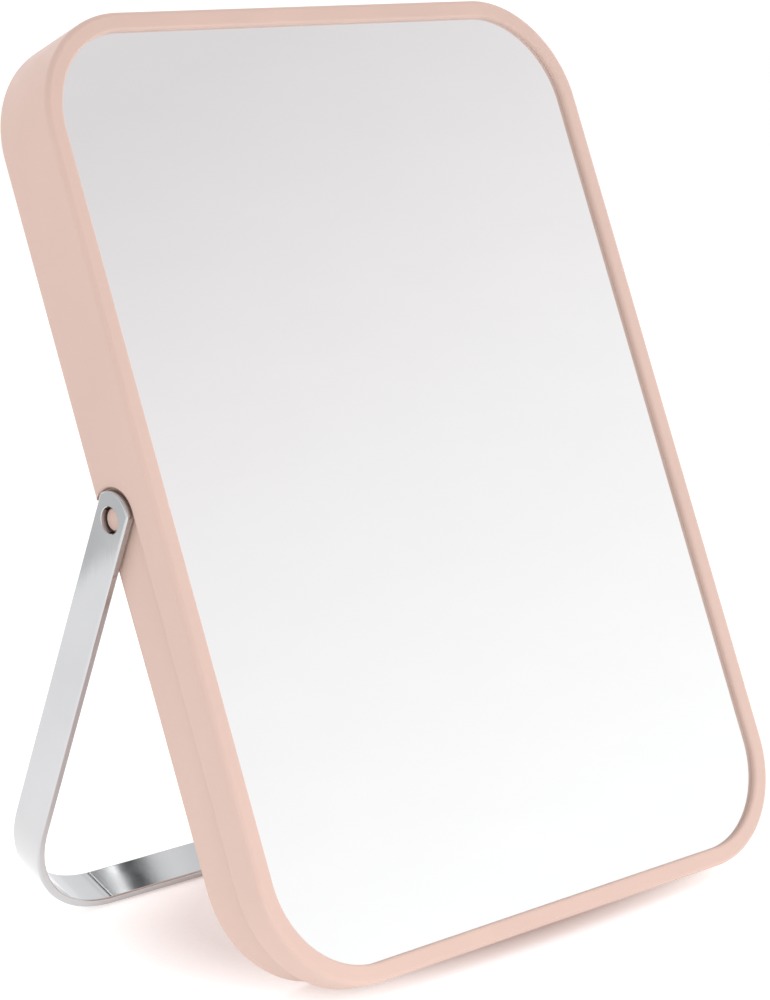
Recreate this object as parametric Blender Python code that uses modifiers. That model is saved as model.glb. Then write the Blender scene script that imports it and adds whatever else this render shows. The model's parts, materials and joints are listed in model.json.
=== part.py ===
"""Folding table mirror with a swinging flat-strap stand.

A rounded rectangular panel (moulded frame, glass, snap-in back cover) leans back on a flat
steel bail. The bail turns on two pins at half height and folds into a step that runs around
the lower half of the frame. Its legs pinch the frame slightly at the pins.

Panel coordinates, before the panel is tilted: X to the right, Y from the front face to the
back, Z up the panel, with the origin in the middle of the front face.
"""

import math

import bmesh
import bpy
from mathutils import Matrix, Vector

# Panel
WIDTH = 0.1600
HEIGHT = 0.2155
DEPTH = 0.0190
CORNER = 0.0261
FRONT_ROUNDING = 0.0012
REAR_ROUNDING = 0.0008
WALL = 0.0030
RIM_WIDTH = 0.0043
LIP = 0.0011
GAP = 0.0003

# Glass and its foam strips
GLASS_THICKNESS = 0.0030
GLASS_SLACK = 0.0004
GLASS_ARRIS = 0.0003
FOAM_THICKNESS = 0.0010
FOAM_WIDTH = 0.0050
FOAM_SIDE_LENGTH = 0.150
FOAM_END_LENGTH = 0.100

# Step around the lower half, which takes the folded bail
STEP_DEPTH = 0.00125
STEP_BOTTOM_EXTRA = 0.00185
STEP_FRONT = 0.00785
WEB = 0.0020
STEP_RADIUS = 0.0068
PIVOT_Z = 0.0006

# Back cover: a plate, a skirt that presses on the foam, ribs and snap hooks
COVER_INSET = 0.0006
COVER_THICKNESS = 0.0020
SKIRT_THICKNESS = 0.0018
RIB_THICKNESS = 0.0012
RIB_HEIGHT = 0.0040
RIB_SPACING = 0.050
HOOK_LENGTH = 0.010
HOOK_THICKNESS = 0.0020
HOOK_REACH = 0.0006
HOOK_FRONT = 0.0095
HOOK_X = 0.038
HOOK_Z = 0.058

# Pins
PIN_DIAMETER = 0.0050
PIN_HEAD_DIAMETER = 0.0062
PIN_HEAD_THICKNESS = 0.0016
PIN_CHAMFER = 0.00025
PIN_HOLE_DIAMETER = 0.0056

# Bail: a flat strap bent into a U
STRAP_WIDTH = 0.0102
STRAP_THICKNESS = 0.0020
STRAP_END_RADIUS = 0.0063
STRAP_HOLE_DIAMETER = 0.0058
STRAP_ARRIS = 0.0005
BAIL_HALF_WIDTH = 0.0817
BAIL_PINCH = 0.0006
BAIL_BOTTOM_CLEARANCE = 0.0005
BAIL_CORNER = 0.0276
OPEN_ANGLE = math.radians(46.0)

# Facets
CORNER_STEPS = 12
ROUND_STEPS = 28
BEYOND = 0.004

# Sizes that follow
PIVOT_Y = STEP_FRONT + STEP_RADIUS
GLASS_FRONT = LIP + GAP
GLASS_BACK = GLASS_FRONT + GLASS_THICKNESS
GLASS_INSET = WALL + GLASS_SLACK
FOAM_FRONT = GLASS_BACK + GAP
SKIRT_FRONT = FOAM_FRONT + FOAM_THICKNESS + GAP
COVER_BACK = DEPTH - COVER_INSET
COVER_FRONT = COVER_BACK - COVER_THICKNESS
PIN_HEAD_OUTER = WIDTH / 2 - WALL - GAP
PIN_HEAD_INNER = PIN_HEAD_OUTER - PIN_HEAD_THICKNESS
SKIRT_INSET = WIDTH / 2 - (PIN_HEAD_INNER - GAP)
STEP_BOTTOM = -HEIGHT / 2 + STEP_DEPTH + STEP_BOTTOM_EXTRA
PIN_END = WIDTH / 2
BAIL_LENGTH = PIVOT_Z - STEP_BOTTOM + BAIL_BOTTOM_CLEARANCE + STRAP_THICKNESS

SIDES = (("left", -1), ("right", 1))


def clear_scene():
    for scene_object in list(bpy.data.objects):
        bpy.data.objects.remove(scene_object, do_unlink=True)


def make_collection(name):
    collection = bpy.data.collections.new(name)
    bpy.context.scene.collection.children.link(collection)
    return collection


def make_material(name, srgb, roughness, metallic=0.0):
    """A Principled material; srgb holds the three display values, 0 to 255."""
    linear = [((value / 255 + 0.055) / 1.055) ** 2.4 for value in srgb]
    material = bpy.data.materials.new(name)
    material.use_nodes = True
    shader = material.node_tree.nodes["Principled BSDF"]
    shader.inputs["Base Color"].default_value = (*linear, 1.0)
    shader.inputs["Roughness"].default_value = roughness
    shader.inputs["Metallic"].default_value = metallic
    material.diffuse_color = (*linear, 1.0)
    return material


def arc(centre, radius, start, end, steps):
    """Points on an arc, in degrees, both ends included."""
    points = []
    for index in range(steps + 1):
        angle = math.radians(start + (end - start) * index / steps)
        points.append((centre[0] + radius * math.cos(angle), centre[1] + radius * math.sin(angle)))
    return points


def rounded_rectangle(inset=0.0, raised=0.0):
    """The panel's outline moved inward by inset, its bottom raised further, as (x, z) points."""
    radius = CORNER - inset
    x = WIDTH / 2 - inset - radius
    top = HEIGHT / 2 - inset - radius
    bottom = raised - top
    points = []
    for quadrant, centre in enumerate(((x, top), (-x, top), (-x, bottom), (x, bottom))):
        points += arc(centre, radius, 90 * quadrant, 90 * quadrant + 90, CORNER_STEPS)
    return points


def link_mesh(name, mesh, collection, parent, location):
    piece = bpy.data.objects.new(name, mesh)
    piece.location = location
    piece.parent = parent
    collection.objects.link(piece)
    return piece


def extruded_mesh(name, points, thickness, turn):
    """A closed flat outline given thickness about its own plane, then turned by a matrix."""
    curve = bpy.data.curves.new(name, "CURVE")
    curve.dimensions = "2D"
    curve.fill_mode = "BOTH"
    curve.extrude = thickness / 2
    spline = curve.splines.new("POLY")
    spline.points.add(len(points) - 1)
    for point, (u, v) in zip(spline.points, points):
        point.co = (u, v, 0.0, 1.0)
    spline.use_cyclic_u = True
    outline = bpy.data.objects.new(name, curve)
    bpy.context.scene.collection.objects.link(outline)
    depsgraph = bpy.context.evaluated_depsgraph_get()
    mesh = bpy.data.meshes.new_from_object(outline.evaluated_get(depsgraph))
    mesh.name = name
    bpy.data.objects.remove(outline, do_unlink=True)
    shape = bmesh.new()
    shape.from_mesh(mesh)
    bmesh.ops.remove_doubles(shape, verts=shape.verts, dist=0.000001)
    flat = math.radians(0.1)
    bmesh.ops.dissolve_limit(shape, angle_limit=flat, verts=shape.verts, edges=shape.edges)
    bmesh.ops.transform(shape, matrix=turn, verts=shape.verts)
    bmesh.ops.recalc_face_normals(shape, faces=shape.faces)
    shape.to_mesh(mesh)
    shape.free()
    return mesh


def slab(name, points, front, back, collection, parent):
    """An (x, z) outline that runs in depth from front to back."""
    upright = Matrix.Rotation(math.radians(90), 4, "X")
    mesh = extruded_mesh(name, points, back - front, upright)
    return link_mesh(name, mesh, collection, parent, (0.0, (front + back) / 2, 0.0))


def crosswise(name, points, half_width, collection, parent, location):
    """A (y, z) outline that runs across the panel, half_width to each side."""
    across = Matrix.Rotation(math.radians(90), 4, "Z") @ Matrix.Rotation(math.radians(90), 4, "X")
    mesh = extruded_mesh(name, points, 2 * half_width, across)
    return link_mesh(name, mesh, collection, parent, location)


def block_mesh(name, boxes):
    """One mesh of boxes, each given as (centre, size)."""
    shape = bmesh.new()
    for centre, size in boxes:
        matrix = Matrix.Translation(centre) @ Matrix.Diagonal((*size, 1.0))
        bmesh.ops.create_cube(shape, size=1.0, matrix=matrix)
    mesh = bpy.data.meshes.new(name)
    shape.to_mesh(mesh)
    shape.free()
    return mesh


def side_bores(name, diameter, inner_x, collection, parent, location):
    """A cylinder on the pivot axis at each side, from inner_x to beyond the bail."""
    outer_x = BAIL_HALF_WIDTH + BEYOND
    shape = bmesh.new()
    for _, side in SIDES:
        middle = Matrix.Translation((side * (inner_x + outer_x) / 2, 0.0, 0.0))
        bmesh.ops.create_cone(
            shape,
            cap_ends=True,
            segments=ROUND_STEPS,
            radius1=diameter / 2,
            radius2=diameter / 2,
            depth=outer_x - inner_x,
            matrix=middle @ Matrix.Rotation(math.radians(90), 4, "Y"),
        )
    mesh = bpy.data.meshes.new(name)
    shape.to_mesh(mesh)
    shape.free()
    return link_mesh(name, mesh, collection, parent, location)


def combine(piece, tool, operation):
    boolean = piece.modifiers.new(tool.name, "BOOLEAN")
    boolean.object = tool
    boolean.operation = operation
    boolean.solver = "EXACT"
    tool.hide_render = True
    tool.display_type = "WIRE"


def round_edges(piece, width, segments):
    bevel = piece.modifiers.new("rounded_edges", "BEVEL")
    bevel.width = width
    bevel.segments = segments
    bevel.limit_method = "ANGLE"
    bevel.angle_limit = math.radians(40)
    bevel.use_clamp_overlap = False


def round_slab_rims(piece, front_width, rear_width, segments):
    """Round the front and rear rims of a slab by different amounts."""
    shape = bmesh.new()
    shape.from_mesh(piece.data)
    weights = shape.edges.layers.float.new("bevel_weight_edge")
    for edge in shape.edges:
        low, high = sorted(vert.co.y for vert in edge.verts)
        if len(edge.link_faces) == 2 and math.isclose(low, high, abs_tol=1e-6):
            if edge.calc_face_angle() > math.radians(60):
                edge[weights] = 1.0 if low < 0 else rear_width / front_width
    shape.to_mesh(piece.data)
    shape.free()
    bevel = piece.modifiers.new("rounded_rims", "BEVEL")
    bevel.width = front_width
    bevel.segments = segments
    bevel.limit_method = "WEIGHT"


def turned(name, profile, side, collection, parent, x):
    """A profile of (radius, distance) points turned about the pivot axis, facing outward."""
    mesh = bpy.data.meshes.new(name)
    shape = bmesh.new()
    verts = [shape.verts.new((radius, 0.0, distance)) for radius, distance in profile]
    for start, end in zip(verts, verts[1:]):
        shape.edges.new((start, end))
    shape.to_mesh(mesh)
    shape.free()
    piece = link_mesh(name, mesh, collection, parent, (side * x, PIVOT_Y, PIVOT_Z))
    piece.rotation_euler = (0.0, side * math.radians(90), 0.0)
    screw = piece.modifiers.new("turned", "SCREW")
    screw.axis = "Z"
    screw.steps = ROUND_STEPS
    screw.render_steps = ROUND_STEPS
    screw.use_merge_vertices = True
    screw.merge_threshold = 0.00001
    return piece


def finish(piece, material):
    piece.data.materials.clear()
    piece.data.materials.append(material)


def hook_places():
    """Middle of each snap hook's root on the wall's inner face, and its outward direction."""
    x = WIDTH / 2 - WALL
    levels = ((-1, WALL + STEP_BOTTOM_EXTRA - HEIGHT / 2), (1, HEIGHT / 2 - WALL))
    places = []
    for sign, z in levels:
        for spot in (-1, 1):
            places.append((Vector((sign * x, 0.0, spot * HOOK_Z)), Vector((sign, 0.0, 0.0))))
            places.append((Vector((spot * HOOK_X, 0.0, z)), Vector((0.0, 0.0, sign))))
    return places


def hook_boxes(inner_reach, outer_reach, slack):
    """Boxes at the hooks, from inner_reach inside the wall face to outer_reach beyond it."""
    boxes = []
    for root, outward in hook_places():
        centre = root + outward * (outer_reach - inner_reach) / 2
        centre.y = HOOK_FRONT + HOOK_THICKNESS / 2
        size = Vector((HOOK_LENGTH, HOOK_THICKNESS, HOOK_LENGTH)) + Vector((2 * slack,) * 3)
        reach = outer_reach + inner_reach
        if abs(outward.x) > 0:
            size.x = reach
        else:
            size.z = reach
        boxes.append((centre, size))
    return boxes


def make_frame(parts, cutters, panel):
    """One moulding: front rim, side wall, step for the bail, pin holes and catches.

    Behind the glass the bottom wall jogs up over the step, so the glass goes in tilted, with
    its bottom edge first.
    """
    frame = slab("frame", rounded_rectangle(), 0.0, DEPTH, parts, panel)
    round_slab_rims(frame, FRONT_ROUNDING, REAR_ROUNDING, 4)

    seat = slab("glass_seat", rounded_rectangle(WALL), LIP, STEP_FRONT - WEB, cutters, panel)
    combine(frame, seat, "DIFFERENCE")
    rear_outline = rounded_rectangle(WALL, STEP_BOTTOM_EXTRA)
    rear = slab("rear_hollow", rear_outline, GLASS_FRONT, DEPTH + BEYOND, cutters, panel)
    combine(frame, rear, "DIFFERENCE")
    window = slab("window", rounded_rectangle(RIM_WIDTH), -BEYOND, 2 * LIP, cutters, panel)
    combine(frame, window, "DIFFERENCE")

    low = -HEIGHT / 2 - BEYOND
    profile = [(STEP_FRONT, low), (PIVOT_Y + STEP_RADIUS, low)]
    profile += arc((PIVOT_Y, PIVOT_Z), STEP_RADIUS, 0, 180, 2 * CORNER_STEPS)
    step = crosswise("bail_step", profile, WIDTH / 2 + BEYOND, cutters, panel, (0.0, 0.0, 0.0))
    core_outline = rounded_rectangle(STEP_DEPTH, STEP_BOTTOM_EXTRA)
    core = slab("step_core", core_outline, LIP, DEPTH + 2 * BEYOND, cutters, panel)
    combine(step, core, "DIFFERENCE")
    combine(frame, step, "DIFFERENCE")

    axis = (0.0, PIVOT_Y, PIVOT_Z)
    pin_holes = side_bores("pin_holes", PIN_HOLE_DIAMETER, PIN_HEAD_INNER, cutters, panel, axis)
    combine(frame, pin_holes, "DIFFERENCE")

    catches = block_mesh("catches", hook_boxes(WALL / 2, HOOK_REACH + GAP, GAP))
    combine(frame, link_mesh("catches", catches, cutters, panel, (0.0, 0.0, 0.0)), "DIFFERENCE")
    return frame


def make_glass(parts, panel):
    outline = rounded_rectangle(GLASS_INSET)
    glass = slab("mirror_glass", outline, GLASS_FRONT, GLASS_BACK, parts, panel)
    round_edges(glass, GLASS_ARRIS, 1)
    return glass


def make_foam_strips(parts, panel):
    """Four strips between the glass and the cover's skirt, one along each straight edge."""
    middle = SKIRT_INSET + SKIRT_THICKNESS / 2
    x = WIDTH / 2 - middle
    top = HEIGHT / 2 - middle
    bottom = STEP_BOTTOM_EXTRA - top
    y = FOAM_FRONT + FOAM_THICKNESS / 2
    places = (
        ("foam_strip_left", (-x, y, 0.0), (FOAM_WIDTH, FOAM_THICKNESS, FOAM_SIDE_LENGTH)),
        ("foam_strip_right", (x, y, 0.0), (FOAM_WIDTH, FOAM_THICKNESS, FOAM_SIDE_LENGTH)),
        ("foam_strip_top", (0.0, y, top), (FOAM_END_LENGTH, FOAM_THICKNESS, FOAM_WIDTH)),
        ("foam_strip_bottom", (0.0, y, bottom), (FOAM_END_LENGTH, FOAM_THICKNESS, FOAM_WIDTH)),
    )
    strips = []
    for name, location, size in places:
        mesh = block_mesh(name, [(Vector((0.0, 0.0, 0.0)), size)])
        strips.append(link_mesh(name, mesh, parts, panel, location))
    return strips


def make_back_cover(parts, cutters, panel):
    """Back plate with a skirt, stiffening ribs and eight snap hooks, moulded in one."""
    outline = rounded_rectangle(GLASS_INSET, STEP_BOTTOM_EXTRA)
    cover = slab("back_cover", outline, COVER_FRONT, COVER_BACK, parts, panel)
    round_edges(cover, GLASS_ARRIS, 1)

    inside_plate = COVER_FRONT + COVER_THICKNESS / 2
    skirt_outline = rounded_rectangle(SKIRT_INSET, STEP_BOTTOM_EXTRA)
    skirt = slab("skirt", skirt_outline, SKIRT_FRONT, inside_plate, cutters, panel)
    combine(cover, skirt, "UNION")
    hollow_outline = rounded_rectangle(SKIRT_INSET + SKIRT_THICKNESS, STEP_BOTTOM_EXTRA)
    hollow = slab("hollow", hollow_outline, SKIRT_FRONT - BEYOND, COVER_FRONT, cutters, panel)
    combine(cover, hollow, "DIFFERENCE")

    skirt_middle = SKIRT_INSET + SKIRT_THICKNESS / 2
    rib_y = (COVER_FRONT - RIB_HEIGHT + inside_plate) / 2
    rib_depth = inside_plate - (COVER_FRONT - RIB_HEIGHT)
    for index, offset in enumerate((-RIB_SPACING, 0.0, RIB_SPACING)):
        size = (WIDTH - 2 * skirt_middle, rib_depth, RIB_THICKNESS)
        mesh = block_mesh("cross_rib", [(Vector((0.0, 0.0, 0.0)), size)])
        rib = link_mesh(f"cross_rib_{index}", mesh, cutters, panel, (0.0, rib_y, offset))
        combine(cover, rib, "UNION")

    inner_reach = SKIRT_INSET + SKIRT_THICKNESS / 2 - WALL
    hooks = block_mesh("hooks", hook_boxes(inner_reach, HOOK_REACH, 0.0))
    combine(cover, link_mesh("hooks", hooks, cutters, panel, (0.0, 0.0, 0.0)), "UNION")

    axis = (0.0, PIVOT_Y, PIVOT_Z)
    relief = PIN_HEAD_DIAMETER + 2 * GAP
    reliefs = side_bores("head_reliefs", relief, PIN_HEAD_INNER - GAP / 2, cutters, panel, axis)
    combine(cover, reliefs, "DIFFERENCE")
    return cover


def make_pin(name, side, parts, panel):
    """Headed pin from inside the wall; its end is level with the side of the frame."""
    radius = PIN_DIAMETER / 2
    head = PIN_HEAD_DIAMETER / 2
    length = PIN_END - PIN_HEAD_INNER
    profile = [
        (0.0, length),
        (radius - PIN_CHAMFER, length),
        (radius, length - PIN_CHAMFER),
        (radius, PIN_HEAD_THICKNESS),
        (head, PIN_HEAD_THICKNESS),
        (head, 0.0),
        (0.0, 0.0),
    ]
    return turned(name, profile, side, parts, panel, PIN_HEAD_INNER)


def bail_outline(inset):
    """One edge of the U, inset from its outer face, from the left leg's top to the right's."""
    corner = BAIL_CORNER - inset
    x = BAIL_HALF_WIDTH - BAIL_CORNER
    z = BAIL_CORNER - BAIL_LENGTH
    left = arc((-x, z), corner, 180, 270, CORNER_STEPS)
    right = arc((x, z), corner, 270, 360, CORNER_STEPS)
    top = STRAP_WIDTH
    pinched = BAIL_HALF_WIDTH - inset - BAIL_PINCH * (top - z) / -z
    return [(-pinched, top)] + left + right + [(pinched, top)]


def make_bail(parts, cutters, pivot):
    """Flat strap bent into a U, with round ends and a hole in each; pivot is its origin."""
    outline = bail_outline(0.0) + bail_outline(STRAP_THICKNESS)[::-1]
    bail = slab("stand_bail", outline, -STRAP_WIDTH, STRAP_WIDTH, parts, pivot)

    half = STRAP_WIDTH / 2
    low = -BAIL_LENGTH - BEYOND
    shoulder = math.degrees(math.acos(half / STRAP_END_RADIUS))
    tip = arc((0.0, 0.0), STRAP_END_RADIUS, shoulder, 180 - shoulder, 2 * CORNER_STEPS)
    profile = [(half, low)] + tip + [(-half, low)]
    strap = crosswise("strap", profile, BAIL_HALF_WIDTH + BEYOND, cutters, pivot, (0.0, 0.0, 0.0))
    combine(bail, strap, "INTERSECT")
    round_edges(bail, STRAP_ARRIS, 4)
    origin = (0.0, 0.0, 0.0)
    holes = side_bores("strap_holes", STRAP_HOLE_DIAMETER, PIN_HEAD_INNER, cutters, pivot, origin)
    combine(bail, holes, "DIFFERENCE")
    return bail


def lean_angle():
    """Tilt that puts the frame's rear bottom edge and the bar's rounded edge on one level."""
    sine = math.sin(OPEN_ANGLE)
    cosine = math.cos(OPEN_ANGLE)
    half = STRAP_WIDTH / 2 - STRAP_ARRIS
    reach = BAIL_LENGTH - STRAP_ARRIS
    y = PIVOT_Y + reach * sine - half * cosine - DEPTH
    z = PIVOT_Z - reach * cosine - half * sine - STEP_BOTTOM
    return math.atan2(z, y) - math.asin(STRAP_ARRIS / math.hypot(y, z))


def stand_on_floor(panel, pieces):
    """Move the tilted panel so that the whole object is centred over the origin at Z = 0."""
    bpy.context.view_layer.update()
    depsgraph = bpy.context.evaluated_depsgraph_get()
    corners = []
    for piece in pieces:
        evaluated = piece.evaluated_get(depsgraph)
        mesh = evaluated.to_mesh()
        corners += [piece.matrix_world @ vert.co for vert in mesh.vertices]
        evaluated.to_mesh_clear()
    ys = [corner.y for corner in corners]
    panel.location.y -= (min(ys) + max(ys)) / 2
    panel.location.z -= min(corner.z for corner in corners)


def make_mirror():
    parts = make_collection("folding_table_mirror")
    cutters = make_collection("cutters")

    panel = bpy.data.objects.new("panel_tilt", None)
    panel.rotation_euler = (-lean_angle(), 0.0, 0.0)
    parts.objects.link(panel)
    pivot = bpy.data.objects.new("bail_axis", None)
    pivot.parent = panel
    pivot.location = (0.0, PIVOT_Y, PIVOT_Z)
    pivot.rotation_euler = (OPEN_ANGLE, 0.0, 0.0)
    parts.objects.link(pivot)

    pink_plastic = make_material("pink_matte_plastic", (236, 203, 192), 0.45)
    silvered_glass = make_material("silvered_glass", (225, 224, 226), 0.03, 1.0)
    grey_foam = make_material("grey_foam", (96, 96, 98), 0.9)
    chrome = make_material("chrome_plate", (214, 218, 220), 0.08, 1.0)

    pieces = [make_frame(parts, cutters, panel), make_back_cover(parts, cutters, panel)]
    for piece in pieces:
        finish(piece, pink_plastic)
    glass = make_glass(parts, panel)
    finish(glass, silvered_glass)
    pieces.append(glass)
    for strip in make_foam_strips(parts, panel):
        finish(strip, grey_foam)
        pieces.append(strip)
    for label, side in SIDES:
        pin = make_pin(f"pivot_pin_{label}", side, parts, panel)
        finish(pin, pink_plastic)
        pieces.append(pin)
    bail = make_bail(parts, cutters, pivot)
    finish(bail, chrome)
    pieces.append(bail)
    stand_on_floor(panel, pieces)


clear_scene()
make_mirror()
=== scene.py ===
"""Looks for the folding table mirror: smooth detailed pieces, node materials and a white studio.

Panel coordinates, in metres: X to the right, Y from the front face to the back, Z up the panel,
with the origin in the middle of the front face. Stand coordinates have their origin on the pivot
axis, with Z from the bar of the bail up to its round ends.
"""

import json
import math

import bmesh
import bpy
from mathutils import Matrix, Vector, noise


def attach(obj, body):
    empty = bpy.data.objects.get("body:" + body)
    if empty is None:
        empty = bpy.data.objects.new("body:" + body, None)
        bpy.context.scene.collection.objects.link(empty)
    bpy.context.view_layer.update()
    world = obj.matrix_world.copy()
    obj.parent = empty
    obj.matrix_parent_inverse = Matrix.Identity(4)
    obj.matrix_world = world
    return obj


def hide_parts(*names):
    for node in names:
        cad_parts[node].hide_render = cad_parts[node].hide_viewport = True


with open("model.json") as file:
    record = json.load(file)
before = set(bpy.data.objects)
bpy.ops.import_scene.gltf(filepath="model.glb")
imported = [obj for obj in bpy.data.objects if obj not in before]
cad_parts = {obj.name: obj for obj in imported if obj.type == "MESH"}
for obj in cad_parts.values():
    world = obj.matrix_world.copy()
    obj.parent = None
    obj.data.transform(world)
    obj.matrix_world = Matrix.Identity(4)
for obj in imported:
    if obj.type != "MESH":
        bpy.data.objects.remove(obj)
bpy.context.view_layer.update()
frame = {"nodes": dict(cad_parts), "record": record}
RECORD = frame["record"]
NODES = frame["nodes"]

# Moulded frame
CORNER = 0.0261
WALL = 0.0030
RIM_WIDTH = 0.0043
LIP = 0.0011
FRONT_ROUNDING = 0.0012
REAR_ROUNDING = 0.0008
LIP_ROUNDING = 0.0007
EDGE_ROUNDING = 0.0003

# Step for the folded bail
STEP_DEPTH = 0.00125
STEP_RAISED = 0.00185
STEP_FRONT = 0.00785
WEB = 0.0020
STEP_EDGE = 0.00045
STEP_FILLET = 0.00025
STEP_REAR_ROUNDING = 0.0004

# Pivot
PIN_HOLE = 0.0056
PIN_DIAMETER = 0.0050
PIN_DOME = 0.0001
PIN_CHAMFER = 0.00025
HEAD_DIAMETER = 0.0062
HEAD_THICKNESS = 0.0016
HEAD_RELIEF = 0.0068

# Glass and cover
GLASS_ARRIS = 0.0003
GLASS_INSET = 0.0034
COVER_ROUNDING = 0.0003
COVER_THICKNESS = 0.0020
SKIRT_INSET = 0.0052
SKIRT_THICKNESS = 0.0018
RIB_THICKNESS = 0.0012
RIB_HEIGHT = 0.0040
RIB_SPACING = 0.050
HOOK_LENGTH = 0.010
HOOK_THICKNESS = 0.0020
HOOK_REACH = 0.0006
HOOK_FRONT = 0.0095
HOOK_X = 0.038
HOOK_Z = 0.058
GAP = 0.0003
CLOSE_FIT = 0.00003
NEAR = 0.00005

# Bail
STRAP_WIDTH = 0.0102
STRAP_THICKNESS = 0.0020
STRAP_END_RADIUS = 0.0063
STRAP_HOLE = 0.0058
STRAP_ARRIS = 0.0005
HOLE_FLARE = 0.00015
BAIL_CORNER = 0.0276
BAIL_PINCH = 0.0006

# Foam strips
FOAM_ROUNDING = 0.0003
FOAM_CUT_LENGTH = 0.002
FOAM_DENT_SCALE = 400.0
FOAM_DENT_SHARE = 0.06

# Mesh fineness
CORNER_STEPS = 40
TURN_STEPS = 72
DOME_STEPS = 4
BEYOND = 0.004
MERGE_DISTANCE = 1e-7
FLAT_ANGLE = 0.05
SHARP_ANGLE = 35.0
FOAM_SHARP_ANGLE = 60.0
FLAT_WEIGHT = 90
FACING = 0.5
FLAT_FACING = 0.99

# Segments of the rounded edges
RIM_SEGMENTS = 8
CUT_SEGMENTS = 5
GLASS_SEGMENTS = 2
COVER_SEGMENTS = 3
FOAM_SEGMENTS = 3
BAIL_SEGMENTS = 6

# Colours, linear, each pair being the two ends of a texture's range
PINK = (0.598, 0.430, 0.367)
PINK_SHADES = (0.975, 1.02)
SILVER_TONES = ((0.905, 0.912, 0.912), (0.920, 0.925, 0.925))
GLASS_EDGE_TONES = ((0.20, 0.33, 0.28), (0.34, 0.48, 0.42))
PAINT_TONES = ((0.24, 0.25, 0.26), (0.30, 0.31, 0.32))
CHROME_TONES = ((0.555, 0.565, 0.575), (0.58, 0.59, 0.60))
FOAM_TONES = ((0.0, (0.05, 0.05, 0.052)), (0.8, (0.14, 0.14, 0.145)))
FLOOR_TONES = ((0.65, 0.65, 0.65), (0.67, 0.67, 0.67))
BLACK = (0.0, 0.0, 0.0, 1.0)

# Roughness, lowest and highest
PLASTIC_ROUGHNESS = (0.33, 0.42)
SILVER_ROUGHNESS = (0.006, 0.018)
GLASS_EDGE_ROUGHNESS = (0.2, 0.4)
PAINT_ROUGHNESS = (0.4, 0.55)
CHROME_ROUGHNESS = (0.045, 0.10)
FOAM_ROUGHNESS = (0.85, 0.97)

# Textures: scale, detail and roughness of the noise
TEXTURE_MIDDLE = (0.3, 0.7)
FLOW_NOISE = (45.0, 3.0)
SHEEN_NOISE = (120.0, 4.0)
GRAIN_NOISE = (3200.0, 2.0, 0.6)
PLASTIC_WAVE_NOISE = (60.0, 1.0)
HAZE_NOISE = (30.0, 5.0, 0.6)
GRINDING_NOISE = (300.0, 3.0)
PEEL_NOISE = (500.0, 2.0)
ROLLING_NOISE = (120.0, 3.0)
SMEAR_NOISE = (70.0, 3.0)
CHROME_WAVE_NOISE = (55.0, 1.0)
PAPER_NOISE = (900.0, 2.0)
FOAM_CELL_SCALE = 2200.0

# Textures: how far each is drawn out along the axes
FLOW_STRETCH = (1.0, 1.0, 0.35)
HAZE_STRETCH = (1.0, 1.0, 3.0)
GRINDING_STRETCH = (1.0, 12.0, 1.0)
ROLLING_STRETCH = (1.0, 30.0, 1.0)

# Relief: depth in metres and strength
GRAIN_RELIEF = (0.00002, 0.35)
PLASTIC_WAVE_RELIEF = (0.0004, 0.06)
GRINDING_RELIEF = (0.00003, 0.4)
PEEL_RELIEF = (0.00003, 0.5)
ROLLING_RELIEF = (0.00001, 0.15)
CHROME_WAVE_RELIEF = (0.0003, 0.12)
FOAM_RELIEF = (0.0001, 0.6)
PLASTIC_IOR = 1.5

# Camera
CAMERA_PLACE = (-0.43766, -0.46963, 0.21007)
CAMERA_HEADING = 42.773
CAMERA_PITCH = -10.355
CAMERA_ROLL = -1.444
CAMERA_LENS = 102.37
CAMERA_SENSOR = 36.0
CAMERA_NEAREST = 0.01
CAMERA_FURTHEST = 50.0

# Studio
FLOOR_HALF_WIDTH = 6.0
FLOOR_SQUARES = 8
FLOOR_GLOW_AND_SHADOW_STRETCH = (0.7, 1.0, 1.0)
BACKDROP_COLOURS = (
    (0.0, (1.05, 1.05, 1.05)),
    (0.22, (1.08, 1.08, 1.08)),
    (0.36, (0.95, 0.93, 0.935)),
    (0.50, (0.765, 0.733, 0.748)),
    (1.0, (0.75, 0.73, 0.74)),
)
BACKDROP_DIRECTION = (0.68, 0.73, 0.0)
BACKDROP_LEVELS = (
    (0.0, (1.05, 1.05, 1.05)),
    (0.25, (0.86, 0.86, 0.86)),
    (0.35, (1.0, 1.0, 1.0)),
    (0.88, (1.05, 1.05, 1.05)),
)
# Glow of the floor by distance from the object: a painted shadow right under it, tinted pink as
# painted bounce light from the frame, then a brighter ring of painted light close around it.
FLOOR_GLOW_AND_PAINTED_SHADOW = (
    (0.040, (0.18, 0.12, 0.11)),
    (0.0505, (0.38, 0.335, 0.325)),
    (0.063, (0.61, 0.61, 0.61)),
    (0.12, (0.52, 0.52, 0.52)),
    (0.30, (0.40, 0.40, 0.40)),
    (0.70, (0.50, 0.50, 0.50)),
)
# Grey flag: a glowing sheet that only shows in reflections, a painted reflection that greys the strap
# above its lower part.
FLAG_FOOT = ((-0.22, 0.268), (-1.32, 1.074))
FLAG_HEIGHT = 0.9
GREY_FLAG_PAINTED_REFLECTION = ((0.0, 1.15), (0.0045, 0.80), (0.4, 0.80), (0.9, 0.85))
CARD_X = (0.06, 0.5)
CARD_Y = (0.09, 0.4)
CARD_HEIGHT = 0.20
# Striped card: a glowing sheet above the bar that only shows in reflections. Its stops are painted
# reflections on the bar: a grey stripe, a bright glint and a dark band.
STRIPED_CARD_PAINTED_REFLECTIONS = (
    (0.060, 0.95),
    (0.080, 0.95),
    (0.0845, 0.30),
    (0.0895, 0.30),
    (0.0925, 0.95),
    (0.0940, 1.20),
    (0.0948, 2.80),
    (0.0960, 2.80),
    (0.0970, 0.80),
    (0.0980, 0.06),
    (0.1050, 0.04),
    (0.1080, 0.45),
    (0.1110, 0.95),
    (0.1180, 1.08),
    (0.1300, 0.90),
    (0.160, 1.05),
)
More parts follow.
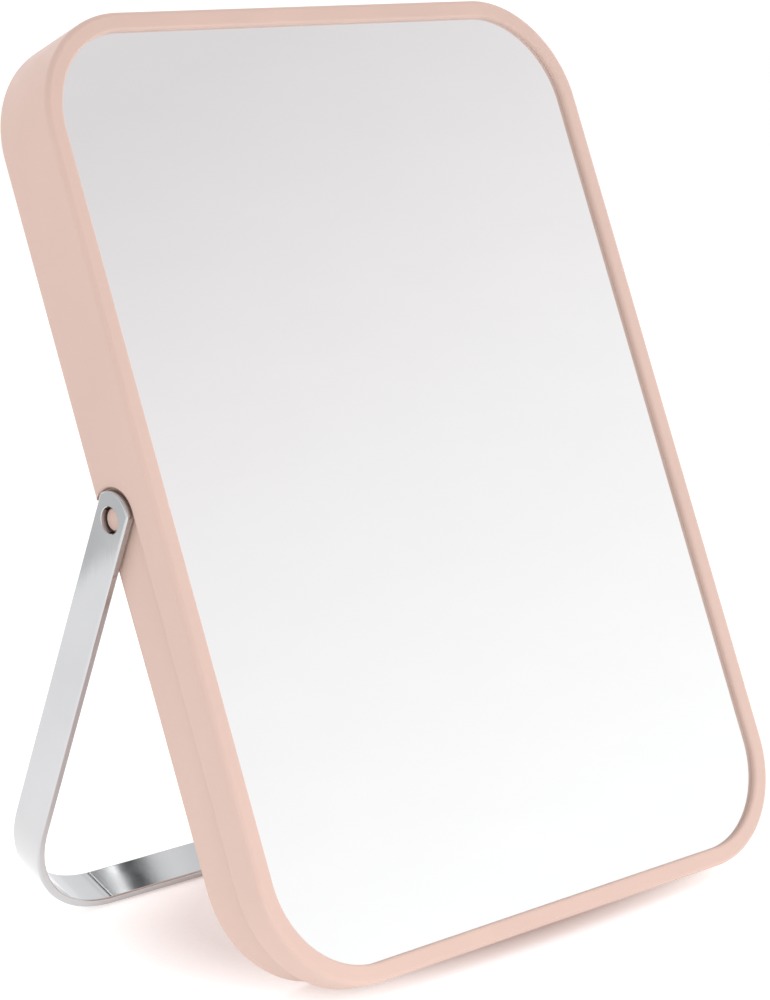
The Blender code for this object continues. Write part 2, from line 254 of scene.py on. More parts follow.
AREA_LIGHTS = (
    ("top_light", (0.0, -0.3, 1.6), (0.0, 0.0, 0.1), (2.0, 2.0), 5.0),
    ("back_light", (-0.6, 0.9, 0.9), (0.0, 0.0, 0.1), (1.6, 1.6), 5.9),
    ("low_fill", (-0.06, -0.29, 0.05), (0.01, -0.03, 0.03), (0.4, 0.10), 0.29),
    ("side_light", (1.0, 0.05, 0.4), (0.0, 0.0, 0.1), (0.8, 0.8), 6.0),
)


def box_corners(points):
    """Lowest and highest corner of the box around some points."""
    low = Vector(min(point[axis] for point in points) for axis in range(3))
    high = Vector(max(point[axis] for point in points) for axis in range(3))
    return low, high


def panel_matrix():
    """Panel to world: its Y is the back mount's axis, and the CAD frame gives the origin."""
    back = Vector(RECORD["mounts"][0]["axis"]).normalized()
    right = Vector((1.0, 0.0, 0.0))
    up = right.cross(back)
    turn = Matrix((right, back, up)).transposed()
    inverse = turn.transposed()
    low, high = box_corners([inverse @ vert.co for vert in NODES["frame"].data.vertices])
    origin = Vector(((low.x + high.x) / 2, low.y, (low.z + high.z) / 2))
    return Matrix.Translation(turn @ origin) @ turn.to_4x4()


def stand_matrix():
    """Stand to world: the joint's place, turned from the panel by the folding range."""
    joint = RECORD["behaviour"]["joints"][0]
    opened = math.radians(-joint["range_deg"][0])
    turn = PANEL.to_3x3().to_4x4() @ Matrix.Rotation(opened, 4, "X")
    return Matrix.Translation(joint["pos_m"]) @ turn


def extent(node, matrix):
    """Lowest and highest corner of a CAD node in the coordinates of that matrix."""
    inverse = matrix.inverted()
    return box_corners([inverse @ vert.co for vert in NODES[node].data.vertices])


PANEL = panel_matrix()
STAND = stand_matrix()
FRAME_LOW, FRAME_HIGH = extent("frame", PANEL)
WIDTH = FRAME_HIGH.x - FRAME_LOW.x
HEIGHT = FRAME_HIGH.z - FRAME_LOW.z
DEPTH = FRAME_HIGH.y
PIVOT = PANEL.inverted() @ STAND.translation
STEP_RADIUS = PIVOT.y - STEP_FRONT
SIDES = (("left", -1), ("right", 1))


# --- mesh helpers ---------------------------------------------------------------------------


def arc(centre, radius, start, end, steps):
    """Points on an arc, in degrees, both ends included."""
    points = []
    for index in range(steps + 1):
        angle = math.radians(start + (end - start) * index / steps)
        points.append((centre[0] + radius * math.cos(angle), centre[1] + radius * math.sin(angle)))
    return points


def rounded_rectangle(inset=0.0, raised=0.0):
    """The panel's outline moved inward by inset, its bottom raised further, as (x, z) points."""
    radius = CORNER - inset
    x = WIDTH / 2 - inset - radius
    top = HEIGHT / 2 - inset - radius
    points = []
    centres = ((x, top), (-x, top), (-x, raised - top), (x, raised - top))
    for quadrant, centre in enumerate(centres):
        points += arc(centre, radius, 90 * quadrant, 90 * quadrant + 90, CORNER_STEPS)
    return points


def outline_inset(x, z, raised=0.0):
    """How far (x, z) lies inside the panel's outline with its bottom raised."""
    middle = raised / 2
    across = abs(x) - (WIDTH / 2 - CORNER)
    along = abs(z - middle) - (HEIGHT / 2 - middle - CORNER)
    outside = math.hypot(max(across, 0.0), max(along, 0.0))
    return CORNER - outside - min(max(across, along), 0.0)


def prism(points, low, high, place):
    """A closed flat outline given thickness; place(u, v, w) turns it into panel axes."""
    shape = bmesh.new()
    ends = [[shape.verts.new(place(u, v, w)) for u, v in points] for w in (low, high)]
    shape.faces.new(ends[0])
    shape.faces.new(ends[1])
    for index in range(len(points)):
        following = (index + 1) % len(points)
        shape.faces.new(
            (ends[0][index], ends[0][following], ends[1][following], ends[1][index])
        )
    bmesh.ops.recalc_face_normals(shape, faces=shape.faces)
    return shape


def slab(points, front, back):
    """An (x, z) outline that runs in depth from front to back."""
    return to_object(prism(points, front, back, lambda u, v, w: (u, w, v)))


def crosswise(points, half_width):
    """A (y, z) outline that runs across the panel, half_width to each side."""
    return to_object(prism(points, -half_width, half_width, lambda u, v, w: (w, u, v)))


def boxes_object(boxes):
    shape = bmesh.new()
    for centre, size in boxes:
        matrix = Matrix.Translation(centre) @ Matrix.Diagonal((*size, 1.0))
        bmesh.ops.create_cube(shape, size=1.0, matrix=matrix)
    return to_object(shape)


def side_bores(diameter, inner_x, outer_x, y, z, flare=0.0):
    """A fine cylinder on the pivot axis at each side, wider by flare at its outer end."""
    shape = bmesh.new()
    for _, side in SIDES:
        middle = Matrix.Translation((side * (inner_x + outer_x) / 2, y, z))
        bmesh.ops.create_cone(
            shape,
            cap_ends=True,
            segments=TURN_STEPS,
            radius1=diameter / 2,
            radius2=diameter / 2 + flare,
            depth=outer_x - inner_x,
            matrix=middle @ Matrix.Rotation(math.radians(90 * side), 4, "Y"),
        )
    return to_object(shape)


def to_object(shape, name="working_shape"):
    mesh = bpy.data.meshes.new(name)
    shape.to_mesh(mesh)
    shape.free()
    made = bpy.data.objects.new(name, mesh)
    bpy.context.scene.collection.objects.link(made)
    return made


def applied(target):
    """Replaces an object's mesh by its mesh with all modifiers applied."""
    depsgraph = bpy.context.evaluated_depsgraph_get()
    mesh = bpy.data.meshes.new_from_object(target.evaluated_get(depsgraph))
    old = target.data
    target.modifiers.clear()
    target.data = mesh
    bpy.data.meshes.remove(old)
    return target


def combine(target, tool, operation):
    """Boolean, applied at once; the tool is used up."""
    boolean = target.modifiers.new("boolean", "BOOLEAN")
    boolean.object = tool
    boolean.operation = operation
    boolean.solver = "EXACT"
    applied(target)
    bpy.data.objects.remove(tool, do_unlink=True)
    tidy_flats(target)
    return target


def tidy_flats(target):
    """Merges flat neighbours, so that only real edges are left to round."""
    shape = bmesh.new()
    shape.from_mesh(target.data)
    bmesh.ops.remove_doubles(shape, verts=shape.verts, dist=MERGE_DISTANCE)
    bmesh.ops.dissolve_limit(
        shape, angle_limit=math.radians(FLAT_ANGLE), verts=shape.verts, edges=shape.edges
    )
    shape.to_mesh(target.data)
    shape.free()


def round_edges(target, widths, segments):
    """Rounds each sharp edge by the width that widths(edge) gives for it, 0 leaving it sharp."""
    shape = bmesh.new()
    shape.from_mesh(target.data)
    layers = shape.edges.layers.float
    earlier = layers.get("bevel_weight_edge")
    if earlier is not None:
        layers.remove(earlier)
    weights = layers.new("bevel_weight_edge")
    chosen = {}
    for edge in shape.edges:
        if len(edge.link_faces) == 2 and edge.calc_face_angle() > math.radians(SHARP_ANGLE):
            chosen[edge.index] = widths(edge)
    widest = max(chosen.values())
    shape.edges.ensure_lookup_table()
    for index, width in chosen.items():
        shape.edges[index][weights] = width / widest
    shape.to_mesh(target.data)
    shape.free()
    bevel = target.modifiers.new("rounded_edges", "BEVEL")
    bevel.width = widest
    bevel.segments = segments
    bevel.limit_method = "WEIGHT"
    bevel.use_clamp_overlap = False
    return applied(target)


def shade(target, angle=SHARP_ANGLE):
    """Smooth shading with sharp creases and flats kept flat."""
    mesh = target.data
    mesh.shade_smooth()
    mesh.set_sharp_from_angle(angle=math.radians(angle))
    normals = target.modifiers.new("flat_faces_first", "WEIGHTED_NORMAL")
    normals.keep_sharp = True
    normals.weight = FLAT_WEIGHT
    return target


def turned(profile, side, x):
    """A profile of (radius, distance) points turned about the pivot axis, facing outward."""
    shape = bmesh.new()
    rings = []
    for radius, distance in profile:
        if radius < MERGE_DISTANCE:
            rings.append([shape.verts.new((side * (x + distance), PIVOT.y, PIVOT.z))])
            continue
        ring = []
        for index in range(TURN_STEPS):
            angle = math.tau * index / TURN_STEPS
            y = PIVOT.y + radius * math.cos(angle)
            z = PIVOT.z + radius * math.sin(angle)
            ring.append(shape.verts.new((side * (x + distance), y, z)))
        rings.append(ring)
    for first, second in zip(rings, rings[1:]):
        for index in range(TURN_STEPS):
            following = (index + 1) % TURN_STEPS
            corners = [
                first[index % len(first)],
                first[following % len(first)],
                second[following % len(second)],
                second[index % len(second)],
            ]
            shape.faces.new(list(dict.fromkeys(corners)))
    bmesh.ops.recalc_face_normals(shape, faces=shape.faces)
    return to_object(shape)


def settle(piece, name, matrix, body, nodes, materials):
    piece.name = name
    piece.data.name = name
    piece.data.materials.clear()
    for material in materials:
        piece.data.materials.append(material)
    piece.data.transform(matrix)
    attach(piece, body)
    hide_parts(*nodes)
    return piece


# --- pieces ---------------------------------------------------------------------------------


def step_tool():
    """What is cut away around the lower half of the frame for the folded bail."""
    low = -HEIGHT / 2 - BEYOND
    profile = [(STEP_FRONT, low), (PIVOT.y + STEP_RADIUS, low)]
    profile += arc((PIVOT.y, PIVOT.z), STEP_RADIUS, 0, 180, 2 * CORNER_STEPS)
    step = crosswise(profile, WIDTH / 2 + BEYOND)
    core = slab(rounded_rectangle(STEP_DEPTH, STEP_RAISED), LIP, DEPTH + 2 * BEYOND)
    return combine(step, core, "DIFFERENCE")


def hook_places():
    """Middle of each snap hook's root on the wall's inner face, and its outward direction."""
    x = WIDTH / 2 - WALL
    levels = ((-1, WALL + STEP_RAISED - HEIGHT / 2), (1, HEIGHT / 2 - WALL))
    places = []
    for sign, z in levels:
        for spot in (-1, 1):
            places.append((Vector((sign * x, 0.0, spot * HOOK_Z)), Vector((sign, 0.0, 0.0))))
            places.append((Vector((spot * HOOK_X, 0.0, z)), Vector((0.0, 0.0, sign))))
    return places


def hook_boxes(inner_reach, outer_reach, slack):
    """Boxes at the hooks, from inner_reach inside the wall face to outer_reach beyond it."""
    boxes = []
    for root, outward in hook_places():
        centre = root + outward * (outer_reach - inner_reach) / 2
        centre.y = HOOK_FRONT + HOOK_THICKNESS / 2
        size = Vector((HOOK_LENGTH, HOOK_THICKNESS, HOOK_LENGTH)) + Vector((2 * slack,) * 3)
        reach = outer_reach + inner_reach
        if abs(outward.x) > 0:
            size.x = reach
        else:
            size.z = reach
        boxes.append((centre, size))
    return boxes


def is_level(edge):
    """Whether both ends of the edge lie at the same depth in the panel."""
    return abs(edge.verts[0].co.y - edge.verts[1].co.y) < NEAR


def rim_edge_width(edge):
    """Rounding of the plain shell's two rims."""
    if not is_level(edge):
        return 0.0
    return FRONT_ROUNDING if edge.verts[0].co.y < DEPTH / 2 else REAR_ROUNDING


def cut_edge_width(edge):
    """Rounding of the edges left by the cuts in the shell, by where they lie."""
    middle = (edge.verts[0].co + edge.verts[1].co) / 2
    inset = outline_inset(middle.x, middle.z)
    stepped = outline_inset(middle.x, middle.z, STEP_RAISED)
    level = is_level(edge)
    if level and middle.y < NEAR:
        return LIP_ROUNDING
    if level and abs(middle.y - DEPTH) < NEAR:
        if abs(stepped - STEP_DEPTH) < NEAR:
            return STEP_REAR_ROUNDING
        return EDGE_ROUNDING if abs(stepped - WALL) < NEAR else 0.0
    if inset < NEAR and middle.y < DEPTH - 2 * REAR_ROUNDING:
        return STEP_EDGE
    if abs(stepped - STEP_DEPTH) < NEAR and not edge.is_convex:
        return STEP_FILLET
    return 0.0


def make_frame(material):
    shell = slab(rounded_rectangle(), 0.0, DEPTH)
    round_edges(shell, rim_edge_width, RIM_SEGMENTS)
    glass_front = extent("mirror_glass", PANEL)[0].y
    cuts = (
        slab(rounded_rectangle(WALL), glass_front - CLOSE_FIT, STEP_FRONT - WEB),
        slab(rounded_rectangle(WALL, STEP_RAISED), glass_front, DEPTH + BEYOND),
        slab(rounded_rectangle(RIM_WIDTH), -BEYOND, 2 * LIP),
        step_tool(),
    )
    for cut in cuts:
        combine(shell, cut, "DIFFERENCE")
    round_edges(shell, cut_edge_width, CUT_SEGMENTS)
    inside = WIDTH / 2 - 2 * WALL
    outside = WIDTH / 2 + BEYOND
    combine(shell, side_bores(PIN_HOLE, inside, outside, PIVOT.y, PIVOT.z), "DIFFERENCE")
    catches = boxes_object(hook_boxes(WALL / 2, HOOK_REACH + GAP, GAP))
    combine(shell, catches, "DIFFERENCE")
    shade(shell)
    return settle(shell, "moulded_frame", PANEL, "panel", ["frame"], [material])


def make_glass(materials):
    low, high = extent("mirror_glass", PANEL)
    glass = slab(rounded_rectangle(GLASS_INSET), low.y, high.y)
    round_edges(glass, lambda edge: GLASS_ARRIS, GLASS_SEGMENTS)
    for face in glass.data.polygons:
        if face.normal.y < -FACING:
            face.material_index = 0
        elif face.normal.y > FLAT_FACING:
            face.material_index = 2
        else:
            face.material_index = 1
    shade(glass)
    indices = [face.material_index for face in glass.data.polygons]
    piece = settle(
        glass, "silvered_glass", PANEL, "panel", ["mirror_glass"], materials
    )
    for face, index in zip(piece.data.polygons, indices):
        face.material_index = index
    return piece


def make_cover(material):
    low, high = extent("back_cover", PANEL)
    back = high.y
    front = back - COVER_THICKNESS
    cover = slab(rounded_rectangle(GLASS_INSET, STEP_RAISED), front, back)
    inside_plate = front + COVER_THICKNESS / 2
    skirt = slab(rounded_rectangle(SKIRT_INSET, STEP_RAISED), low.y, inside_plate)
    combine(cover, skirt, "UNION")
    hollow_outline = rounded_rectangle(SKIRT_INSET + SKIRT_THICKNESS, STEP_RAISED)
    combine(cover, slab(hollow_outline, low.y - BEYOND, front), "DIFFERENCE")
    skirt_middle = SKIRT_INSET + SKIRT_THICKNESS / 2
    size = (WIDTH - 2 * skirt_middle, inside_plate - (front - RIB_HEIGHT), RIB_THICKNESS)
    rib_y = (front - RIB_HEIGHT + inside_plate) / 2
    for offset in (-RIB_SPACING, 0.0, RIB_SPACING):
        combine(cover, boxes_object([(Vector((0.0, rib_y, offset)), size)]), "UNION")
    inner_reach = SKIRT_INSET + SKIRT_THICKNESS / 2 - WALL
    combine(cover, boxes_object(hook_boxes(inner_reach, HOOK_REACH, 0.0)), "UNION")
    inner = extent("pivot_pin_right", PANEL)[0].x - GAP / 2
    reliefs = side_bores(HEAD_RELIEF, inner, WIDTH / 2, PIVOT.y, PIVOT.z)
    combine(cover, reliefs, "DIFFERENCE")

    def cover_edge_width(edge):
        outer = abs(edge.verts[0].co.y - back) < NEAR
        return COVER_ROUNDING if outer and is_level(edge) else 0.0

    round_edges(cover, cover_edge_width, COVER_SEGMENTS)
    shade(cover)
    return settle(
        cover, "snap_in_cover", PANEL, "panel", ["back_cover"], [material]
    )


def make_pin(label, side, material):
    """Headed pin with a slightly domed end and a rounded arris."""
    node = f"pivot_pin_{label}"
    low, high = extent(node, PANEL)
    inner = min(abs(low.x), abs(high.x))
    length = abs(high.x - low.x)
    radius = PIN_DIAMETER / 2
    flat = radius - PIN_CHAMFER
    profile = [(0.0, length)]
    for index in range(1, DOME_STEPS + 1):
        share = index / DOME_STEPS
        profile.append((flat * share, length - PIN_DOME * share * share))
    profile.append((radius, length - PIN_DOME - PIN_CHAMFER))
    profile += [
        (radius, HEAD_THICKNESS),
        (HEAD_DIAMETER / 2 - GAP / 2, HEAD_THICKNESS),
        (HEAD_DIAMETER / 2, HEAD_THICKNESS - GAP / 2),
        (HEAD_DIAMETER / 2, GAP / 2),
        (HEAD_DIAMETER / 2 - GAP / 2, 0.0),
        (0.0, 0.0),
    ]
    pin = turned(profile, side, inner)
    shade(pin)
    name = f"headed_pin_{label}"
    return settle(pin, name, PANEL, "panel", [node], [material])


def make_foam(label, material):
    """A soft strip with rounded edges and a slightly uneven skin."""
    node = f"foam_strip_{label}"
    low, high = extent(node, PANEL)
    size = high - low
    strip = boxes_object([((low + high) / 2, size)])
    shape = bmesh.new()
    shape.from_mesh(strip.data)
    long_axis = max(range(3), key=lambda axis: size[axis])
    cuts = int(size[long_axis] / FOAM_CUT_LENGTH)
    lengthwise = [
        edge
        for edge in shape.edges
        if abs(edge.verts[0].co[long_axis] - edge.verts[1].co[long_axis]) > size[long_axis] / 2
    ]
    bmesh.ops.subdivide_edges(shape, edges=lengthwise, cuts=cuts, use_grid_fill=True)
    shape.to_mesh(strip.data)
    shape.free()
    round_edges(strip, lambda edge: FOAM_ROUNDING, FOAM_SEGMENTS)
    mesh = strip.data
    middle = (low + high) / 2
    for vert in mesh.vertices:
        dent = (1.0 + noise.noise(vert.co * FOAM_DENT_SCALE)) / 2
        pull = 1.0 - FOAM_DENT_SHARE * dent
        vert.co.y = middle.y + (vert.co.y - middle.y) * pull
    shade(strip, FOAM_SHARP_ANGLE)
    name = f"soft_strip_{label}"
    return settle(strip, name, PANEL, "panel", [node], [material])


def bail_outline(half_width, bottom, inset):
    """One edge of the U, inset from its outer face, from the left leg's top to the right's."""
    corner = BAIL_CORNER - inset
    x = half_width - BAIL_CORNER
    z = bottom + BAIL_CORNER
    left = arc((-x, z), corner, 180, 270, CORNER_STEPS)
    right = arc((x, z), corner, 270, 360, CORNER_STEPS)
    top = STRAP_WIDTH
    pinched = half_width - inset - BAIL_PINCH * (top - z) / -z
    return [(-pinched, top)] + left + right + [(pinched, top)]


def make_bail(material):
    low, high = extent("stand_bail", STAND)
    half_width = (high.x - low.x) / 2
    outer = bail_outline(half_width, low.z, 0.0)
    inner = bail_outline(half_width, low.z, STRAP_THICKNESS)
    bail = slab(outer + inner[::-1], -STRAP_WIDTH, STRAP_WIDTH)
    half = STRAP_WIDTH / 2
    bottom = low.z - BEYOND
    shoulder = math.degrees(math.acos(half / STRAP_END_RADIUS))
    tip = arc((0.0, 0.0), STRAP_END_RADIUS, shoulder, 180 - shoulder, TURN_STEPS // 2)
    profile = [(half, bottom)] + tip + [(-half, bottom)]
    combine(bail, crosswise(profile, half_width + BEYOND), "INTERSECT")
    round_edges(bail, lambda edge: STRAP_ARRIS, BAIL_SEGMENTS)
    face = half_width - BAIL_PINCH
    combine(bail, side_bores(STRAP_HOLE, face - BEYOND, face + BEYOND, 0, 0), "DIFFERENCE")
    flared = side_bores(STRAP_HOLE, face - HOLE_FLARE, face + HOLE_FLARE, 0, 0, 2 * HOLE_FLARE)
    combine(bail, flared, "DIFFERENCE")
    shade(bail)
    return settle(bail, "strap_bail", STAND, "stand", ["stand_bail"], [material])


# --- materials ------------------------------------------------------------------------------


def fill_ramp(ramp, stops):
    while len(ramp.elements) < len(stops):
        ramp.elements.new(0.5)
    for element, (position, colour) in zip(ramp.elements, stops):
        element.position = position
        element.color = (*colour, 1.0)


class Shader:
    """A Principled material under construction, with short calls for its nodes."""

    def __init__(self, name):
        self.material = bpy.data.materials.new(name)
        self.material.use_nodes = True
        self.tree = self.material.node_tree
        self.principled = self.tree.nodes["Principled BSDF"]

    def set(self, **sockets):
        for socket, value in sockets.items():
            self.principled.inputs[socket.replace("_", " ")].default_value = value

    def node(self, kind, **values):
        made = self.tree.nodes.new(kind)
        for key, value in values.items():
            if key in made.inputs:
                made.inputs[key].default_value = value
            else:
                setattr(made, key, value)
        return made

    def link(self, source, target):
        self.tree.links.new(source, target)

    def feed(self, socket, source):
        """Links a texture to a socket of the Principled node."""
        self.link(source, self.principled.inputs[socket])

    def coordinates(self):
        return self.node("ShaderNodeTexCoord").outputs["Object"]

    def noise(self, source, scale, detail=2.0, roughness=0.5):
        texture = self.node("ShaderNodeTexNoise")
        texture.inputs["Scale"].default_value = scale
        texture.inputs["Detail"].default_value = detail
        texture.inputs["Roughness"].default_value = roughness
        self.link(source, texture.inputs["Vector"])
        return texture.outputs["Fac"]

    def ramp(self, source, stops):
        ramp = self.node("ShaderNodeValToRGB")
        fill_ramp(ramp.color_ramp, stops)
        self.link(source, ramp.inputs["Fac"])
        return ramp.outputs["Color"]

    def shades(self, source, ends):
        """A ramp between two colours over a texture's middle range."""
        return self.ramp(source, tuple(zip(TEXTURE_MIDDLE, ends)))

    def spread(self, source, low, high, start=TEXTURE_MIDDLE[0], end=TEXTURE_MIDDLE[1]):
        """Maps a texture's middle range onto low to high."""
        mapped = self.node("ShaderNodeMapRange")
        mapped.inputs["From Min"].default_value = start
        mapped.inputs["From Max"].default_value = end
        mapped.inputs["To Min"].default_value = low
        mapped.inputs["To Max"].default_value = high
        self.link(source, mapped.inputs["Value"])
        return mapped.outputs["Result"]

    def bump(self, height, distance, strength, under=None):
        bump = self.node("ShaderNodeBump")
        bump.inputs["Distance"].default_value = distance
        bump.inputs["Strength"].default_value = strength
        self.link(height, bump.inputs["Height"])
        if under is not None:
            self.link(under, bump.inputs["Normal"])
        return bump.outputs["Normal"]

    def stretched(self, source, scale):
        mapping = self.node("ShaderNodeMapping")
        mapping.inputs["Scale"].default_value = scale
        self.link(source, mapping.inputs["Vector"])
        return mapping.outputs["Vector"]


def scaled(colour, factor):
    return tuple(min(1.0, channel * factor) for channel in colour)


def moulded_plastic(name):
    """Matte injection moulding: faint flow marks, fine spark-eroded grain, uneven sheen."""
    shader = Shader(name)
    place = shader.coordinates()
    flow = shader.noise(shader.stretched(place, FLOW_STRETCH), *FLOW_NOISE)
    shader.feed("Base Color", shader.shades(flow, [scaled(PINK, shade) for shade in PINK_SHADES]))
    patches = shader.noise(place, *SHEEN_NOISE)
    shader.feed("Roughness", shader.spread(patches, *PLASTIC_ROUGHNESS))
    grain = shader.noise(place, *GRAIN_NOISE)
    wave = shader.noise(place, *PLASTIC_WAVE_NOISE)
    wavy = shader.bump(wave, *PLASTIC_WAVE_RELIEF)
    shader.feed("Normal", shader.bump(grain, *GRAIN_RELIEF, wavy))
    shader.set(IOR=PLASTIC_IOR)
    return shader.material


def silvered_front(name):
    """Back-silvered float glass seen from the front, with the faintest wiping marks."""
    shader = Shader(name)
    haze = shader.noise(shader.stretched(shader.coordinates(), HAZE_STRETCH), *HAZE_NOISE)
    shader.feed("Roughness", shader.spread(haze, *SILVER_ROUGHNESS))
    shader.feed("Base Color", shader.shades(haze, SILVER_TONES))
    shader.set(Metallic=1.0)
    return shader.material


def glass_edge(name):
    """Ground green-grey edge of the float glass."""
    shader = Shader(name)
    place = shader.coordinates()
    streaks = shader.noise(shader.stretched(place, GRINDING_STRETCH), *GRINDING_NOISE)
    shader.feed("Base Color", shader.shades(streaks, GLASS_EDGE_TONES))
    shader.feed("Roughness", shader.spread(streaks, *GLASS_EDGE_ROUGHNESS))
    shader.feed("Normal", shader.bump(streaks, *GRINDING_RELIEF))
    return shader.material


def backing_paint(name):
    """Grey protective paint over the silver, rolled on, with a light orange peel."""
    shader = Shader(name)
    peel = shader.noise(shader.coordinates(), *PEEL_NOISE)
    shader.feed("Base Color", shader.shades(peel, PAINT_TONES))
    shader.feed("Roughness", shader.spread(peel, *PAINT_ROUGHNESS))
    shader.feed("Normal", shader.bump(peel, *PEEL_RELIEF))
    return shader.material


def chrome_plate(name):
    """Bright chrome on rolled strip: fine lengthwise rolling lines and a slight waviness."""
    shader = Shader(name)
    place = shader.coordinates()
    rolled = shader.noise(shader.stretched(place, ROLLING_STRETCH), *ROLLING_NOISE)
    smears = shader.noise(place, *SMEAR_NOISE)
    shader.feed("Roughness", shader.spread(smears, *CHROME_ROUGHNESS))
    shader.feed("Base Color", shader.shades(smears, CHROME_TONES))
    wave = shader.noise(place, *CHROME_WAVE_NOISE)
    wavy = shader.bump(wave, *CHROME_WAVE_RELIEF)
    shader.feed("Normal", shader.bump(rolled, *ROLLING_RELIEF, wavy))
    shader.set(Metallic=1.0)
    return shader.material


def foam(name):
    """Dark closed-cell foam."""
    shader = Shader(name)
    cells = shader.node("ShaderNodeTexVoronoi")
    cells.inputs["Scale"].default_value = FOAM_CELL_SCALE
    shader.link(shader.coordinates(), cells.inputs["Vector"])
    distance = cells.outputs["Distance"]
    shader.feed("Base Color", shader.ramp(distance, FOAM_TONES))
    shader.feed("Roughness", shader.spread(distance, *FOAM_ROUGHNESS, 0.0, 1.0))
    shader.feed("Normal", shader.bump(distance, *FOAM_RELIEF))
    return shader.material


# --- studio ---------------------------------------------------------------------------------


def make_floor():
    """Paper sweep that glows: brightest close around the object, with a painted shadow under it,
    tinted pink as painted bounce light.
    """
    shape = bmesh.new()
    bmesh.ops.create_grid(
        shape, x_segments=FLOOR_SQUARES, y_segments=FLOOR_SQUARES, size=FLOOR_HALF_WIDTH
    )
    floor = to_object(shape, "studio_floor")
    shader = Shader("studio_floor_paper")
    place = shader.coordinates()
    shader.feed("Base Color", shader.shades(shader.noise(place, *PAPER_NOISE), FLOOR_TONES))
    flattened = shader.stretched(place, FLOOR_GLOW_AND_SHADOW_STRETCH)
    away = shader.node("ShaderNodeVectorMath", operation="LENGTH")
    shader.link(flattened, away.inputs[0])
    # The floor's glow carries the painted shadow under the object and the painted light around it.
    shader.feed("Emission Color", shader.ramp(away.outputs["Value"], FLOOR_GLOW_AND_PAINTED_SHADOW))
    shader.set(Roughness=1.0, Emission_Strength=1.0)
    shader.principled.inputs["Specular IOR Level"].default_value = 0.0
    floor.data.materials.append(shader.material)


def make_world():
    """White studio whose upper part falls off to grey, as the mirror shows it."""
    world = bpy.data.worlds.new("studio")
    bpy.context.scene.world = world
    world.use_nodes = True
    tree = world.node_tree
    background = tree.nodes["Background"]
    place = tree.nodes.new("ShaderNodeTexCoord")
    split = tree.nodes.new("ShaderNodeSeparateXYZ")
    ramp = tree.nodes.new("ShaderNodeValToRGB")
    tree.links.new(place.outputs["Generated"], split.inputs["Vector"])
    tree.links.new(split.outputs["Z"], ramp.inputs["Fac"])
    fill_ramp(ramp.color_ramp, BACKDROP_COLOURS)
    tree.links.new(ramp.outputs["Color"], background.inputs["Color"])
    towards = tree.nodes.new("ShaderNodeVectorMath")
    towards.operation = "DOT_PRODUCT"
    towards.inputs[1].default_value = BACKDROP_DIRECTION
    tree.links.new(place.outputs["Generated"], towards.inputs[0])
    centred = tree.nodes.new("ShaderNodeMapRange")
    centred.inputs["From Min"].default_value = -1.0
    tree.links.new(towards.outputs["Value"], centred.inputs["Value"])
    levels = tree.nodes.new("ShaderNodeValToRGB")
    fill_ramp(levels.color_ramp, BACKDROP_LEVELS)
    tree.links.new(centred.outputs["Result"], levels.inputs["Fac"])
    tree.links.new(levels.outputs["Color"], background.inputs["Strength"])


def add_card(name, corners, axis, stops):
    """A studio card that only shows in reflections, its glow graded along one axis."""
    shape = bmesh.new()
    shape.faces.new([shape.verts.new(corner) for corner in corners])
    card = to_object(shape, name)
    shader = Shader(name)
    split = shader.node("ShaderNodeSeparateXYZ")
    shader.link(shader.coordinates(), split.inputs["Vector"])
    low, high = stops[0][0], stops[-1][0]
    along = shader.spread(split.outputs[axis], 0.0, 1.0, low, high)
    levels = tuple(((place - low) / (high - low), (level,) * 3) for place, level in stops)
    shader.feed("Emission Color", shader.ramp(along, levels))
    shader.set(Base_Color=BLACK, Emission_Strength=1.0, Roughness=1.0)
    shader.principled.inputs["Specular IOR Level"].default_value = 0.0
    card.data.materials.append(shader.material)
    card.visible_camera = False
    card.visible_diffuse = False
    card.visible_shadow = False


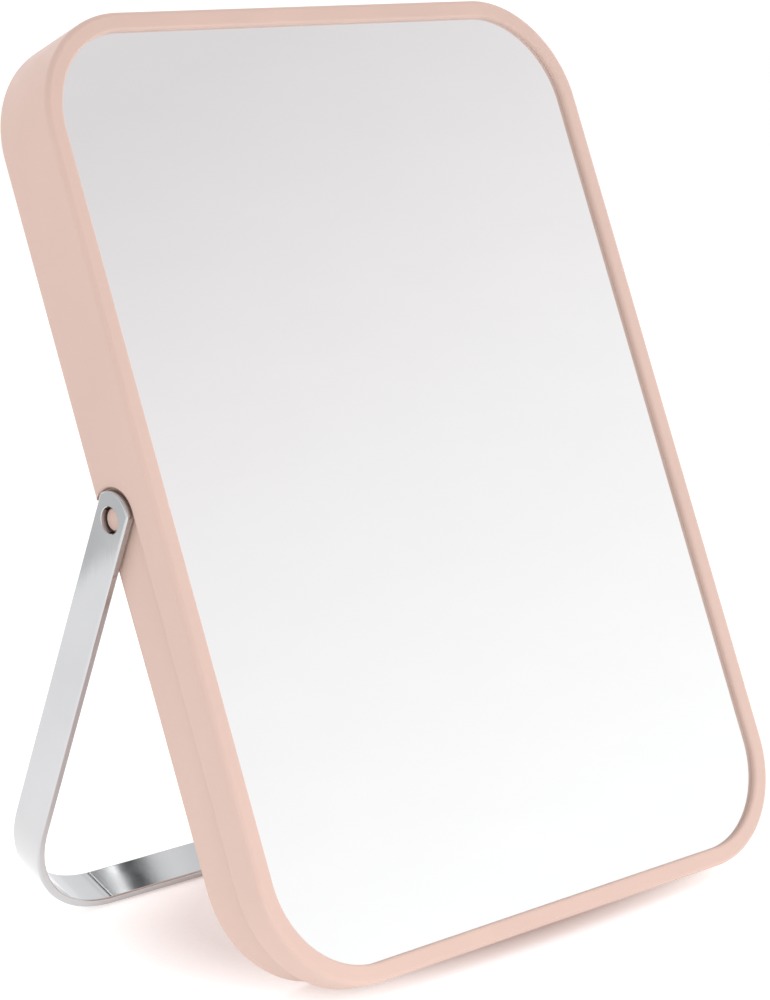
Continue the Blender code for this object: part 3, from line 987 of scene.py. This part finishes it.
def add_area(name, place, target, size, power):
    """A soft lamp that doesn't show itself, pointed from its place at a target."""
    data = bpy.data.lights.new(name, "AREA")
    data.shape = "RECTANGLE"
    data.size, data.size_y = size
    data.energy = power
    light = bpy.data.objects.new(name, data)
    bpy.context.scene.collection.objects.link(light)
    light.location = place
    direction = Vector(target) - Vector(place)
    light.rotation_euler = direction.to_track_quat("-Z", "Y").to_euler()
    light.visible_camera = False
    light.visible_glossy = False


def make_cards():
    """A grey flag behind the object and a striped card above the bar of the bail. Both are glowing
    sheets that only show in reflections, painting a grey band on the strap and a stripe, a bright
    glint and a dark band on the bar.
    """
    (near_x, near_y), (far_x, far_y) = FLAG_FOOT
    flag = ((near_x, near_y, 0.0), (far_x, far_y, 0.0))
    flag += ((far_x, far_y, FLAG_HEIGHT), (near_x, near_y, FLAG_HEIGHT))
    add_card("grey_flag", flag, "Z", GREY_FLAG_PAINTED_REFLECTION)
    (left, right), (near, far) = CARD_X, CARD_Y
    sheet = [(x, y, CARD_HEIGHT) for x, y in ((left, near), (right, near), (right, far), (left, far))]
    add_card("striped_card", sheet, "X", STRIPED_CARD_PAINTED_REFLECTIONS)


def make_camera():
    data = bpy.data.cameras.new("camera")
    data.lens = CAMERA_LENS
    data.sensor_width = CAMERA_SENSOR
    data.clip_start = CAMERA_NEAREST
    data.clip_end = CAMERA_FURTHEST
    camera = bpy.data.objects.new("camera", data)
    bpy.context.scene.collection.objects.link(camera)
    turn = (
        Matrix.Rotation(math.radians(-CAMERA_HEADING), 4, "Z")
        @ Matrix.Rotation(math.radians(90 + CAMERA_PITCH), 4, "X")
        @ Matrix.Rotation(math.radians(CAMERA_ROLL), 4, "Z")
    )
    camera.matrix_world = Matrix.Translation(CAMERA_PLACE) @ turn
    bpy.context.scene.camera = camera


plastic = moulded_plastic("pink_matte_plastic")
make_frame(plastic)
make_cover(plastic)
make_glass(
    [silvered_front("silvered_front"), glass_edge("glass_edge"), backing_paint("backing_paint")]
)
make_bail(chrome_plate("chrome_plate"))
for label, side in SIDES:
    make_pin(label, side, plastic)
grey_foam = foam("grey_foam")
for label in ("left", "right", "top", "bottom"):
    make_foam(label, grey_foam)

make_floor()
make_world()
make_camera()
make_cards()
for lamp in AREA_LIGHTS:
    add_area(*lamp)
bpy.context.scene.view_settings.view_transform = "Standard"
